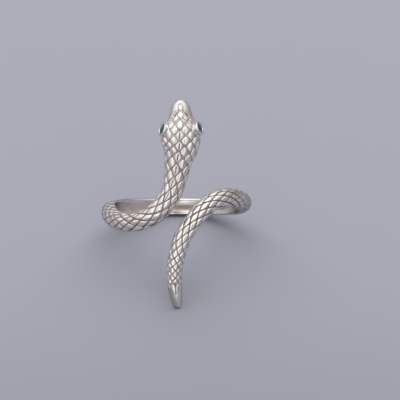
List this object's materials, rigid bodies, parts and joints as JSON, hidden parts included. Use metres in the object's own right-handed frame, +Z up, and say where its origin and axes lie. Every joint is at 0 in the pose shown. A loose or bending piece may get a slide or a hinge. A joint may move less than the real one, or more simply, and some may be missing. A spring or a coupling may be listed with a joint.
{
  "type": "snake ring",
  "caption": "Silver bypass ring in the form of a snake that goes once round the finger, with raised scales, a head along the finger with green stone eyes, and a tapering tail.",
  "frame": {"origin": "on the surface that the ring lies on, under the middle of its bounding box", "axes": "+Z up from that surface; the snake's head and tail face -Y and up; +X runs across the finger hole, from the side of the coil below the head to the side of the coil above the tail; the finger hole's axis leans back from +Z towards +Y by 33.5 degrees"},
  "size_m": [0.0212, 0.024, 0.0243],
  "materials": {
    "silver": "polished cast silver, darkened in the grooves between the scales",
    "green_stone": "clear deep green faceted stone, polished"
  },
  "bodies": {
    "root": {"snake_body": "silver", "eye_stone_left": "green_stone", "eye_stone_right": "green_stone"}
  },
  "joints": []
}
